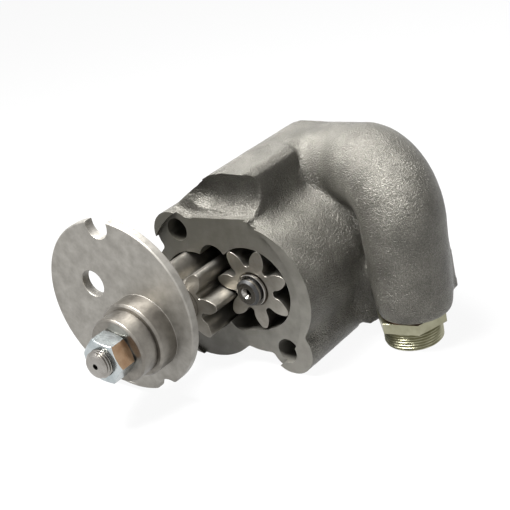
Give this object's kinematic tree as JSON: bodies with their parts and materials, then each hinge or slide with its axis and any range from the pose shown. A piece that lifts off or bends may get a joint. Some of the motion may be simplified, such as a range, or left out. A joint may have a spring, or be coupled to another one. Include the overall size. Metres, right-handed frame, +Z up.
{
  "type": "engine oil pump",
  "caption": "External gear oil pump: cast housing with elbow outlet and threaded fitting, gears in mesh, cover pulled forward on the keyed drive shaft with spacer and nut.",
  "frame": {"origin": "midway between the two mounting holes, on the machined joint face of the housing", "axes": "+Y along the shafts into the housing, so the cover and the shaft nut lie towards -Y; +Z up, away from the threaded pipe fitting; +X to the right seen from the cover"},
  "size_m": [0.1758, 0.1725, 0.1085],
  "materials": {
    "cast_iron": "rough sand-cast surface, machined joint face",
    "ground_steel": "ground and polished",
    "gear_steel": "milled, matt",
    "bronze": "machined bearing bronze",
    "key_steel": "drawn bright steel",
    "spring_steel": "blackened spring steel",
    "cover_steel": "ground, with fine mottling",
    "turned_steel": "fine turned",
    "zinc_plate": "bright zinc plate",
    "yellow_zinc": "yellow passivated zinc plate",
    "copper": "soft copper"
  },
  "bodies": {
    "housing": {"housing": "cast_iron", "idler_pin": "ground_steel", "rear_bush": "bronze", "pipe_fitting": "yellow_zinc", "fitting_seal": "copper"},
    "cover": {"cover": "cover_steel", "cover_bush": "bronze"},
    "drive": {"drive_shaft": "ground_steel", "drive_gear": "gear_steel", "drive_gear_key": "key_steel", "gear_circlip": "spring_steel", "spacer_sleeve": "turned_steel", "shaft_nut": "zinc_plate"},
    "idler": {"idler_gear": "gear_steel", "idler_bush": "bronze"}
  },
  "joints": [
    {"name": "cover_slide", "type": "slide", "parent": "housing", "child": "cover", "axis": [0, 1, 0], "range_m": [0, 0.023]},
    {"name": "drive_spin", "type": "hinge", "parent": "housing", "child": "drive", "pos_m": [-0.0219, 0, -0.0041], "axis": [0, 1, 0], "continuous": true},
    {"name": "idler_spin", "type": "hinge", "parent": "housing", "child": "idler", "pos_m": [0.01353, 0, 0.00228], "axis": [0, 1, 0], "continuous": true}
  ],
  "couplings": [
    {"joint": "idler_spin", "follows": "drive_spin", "ratio": -1}
  ]
}
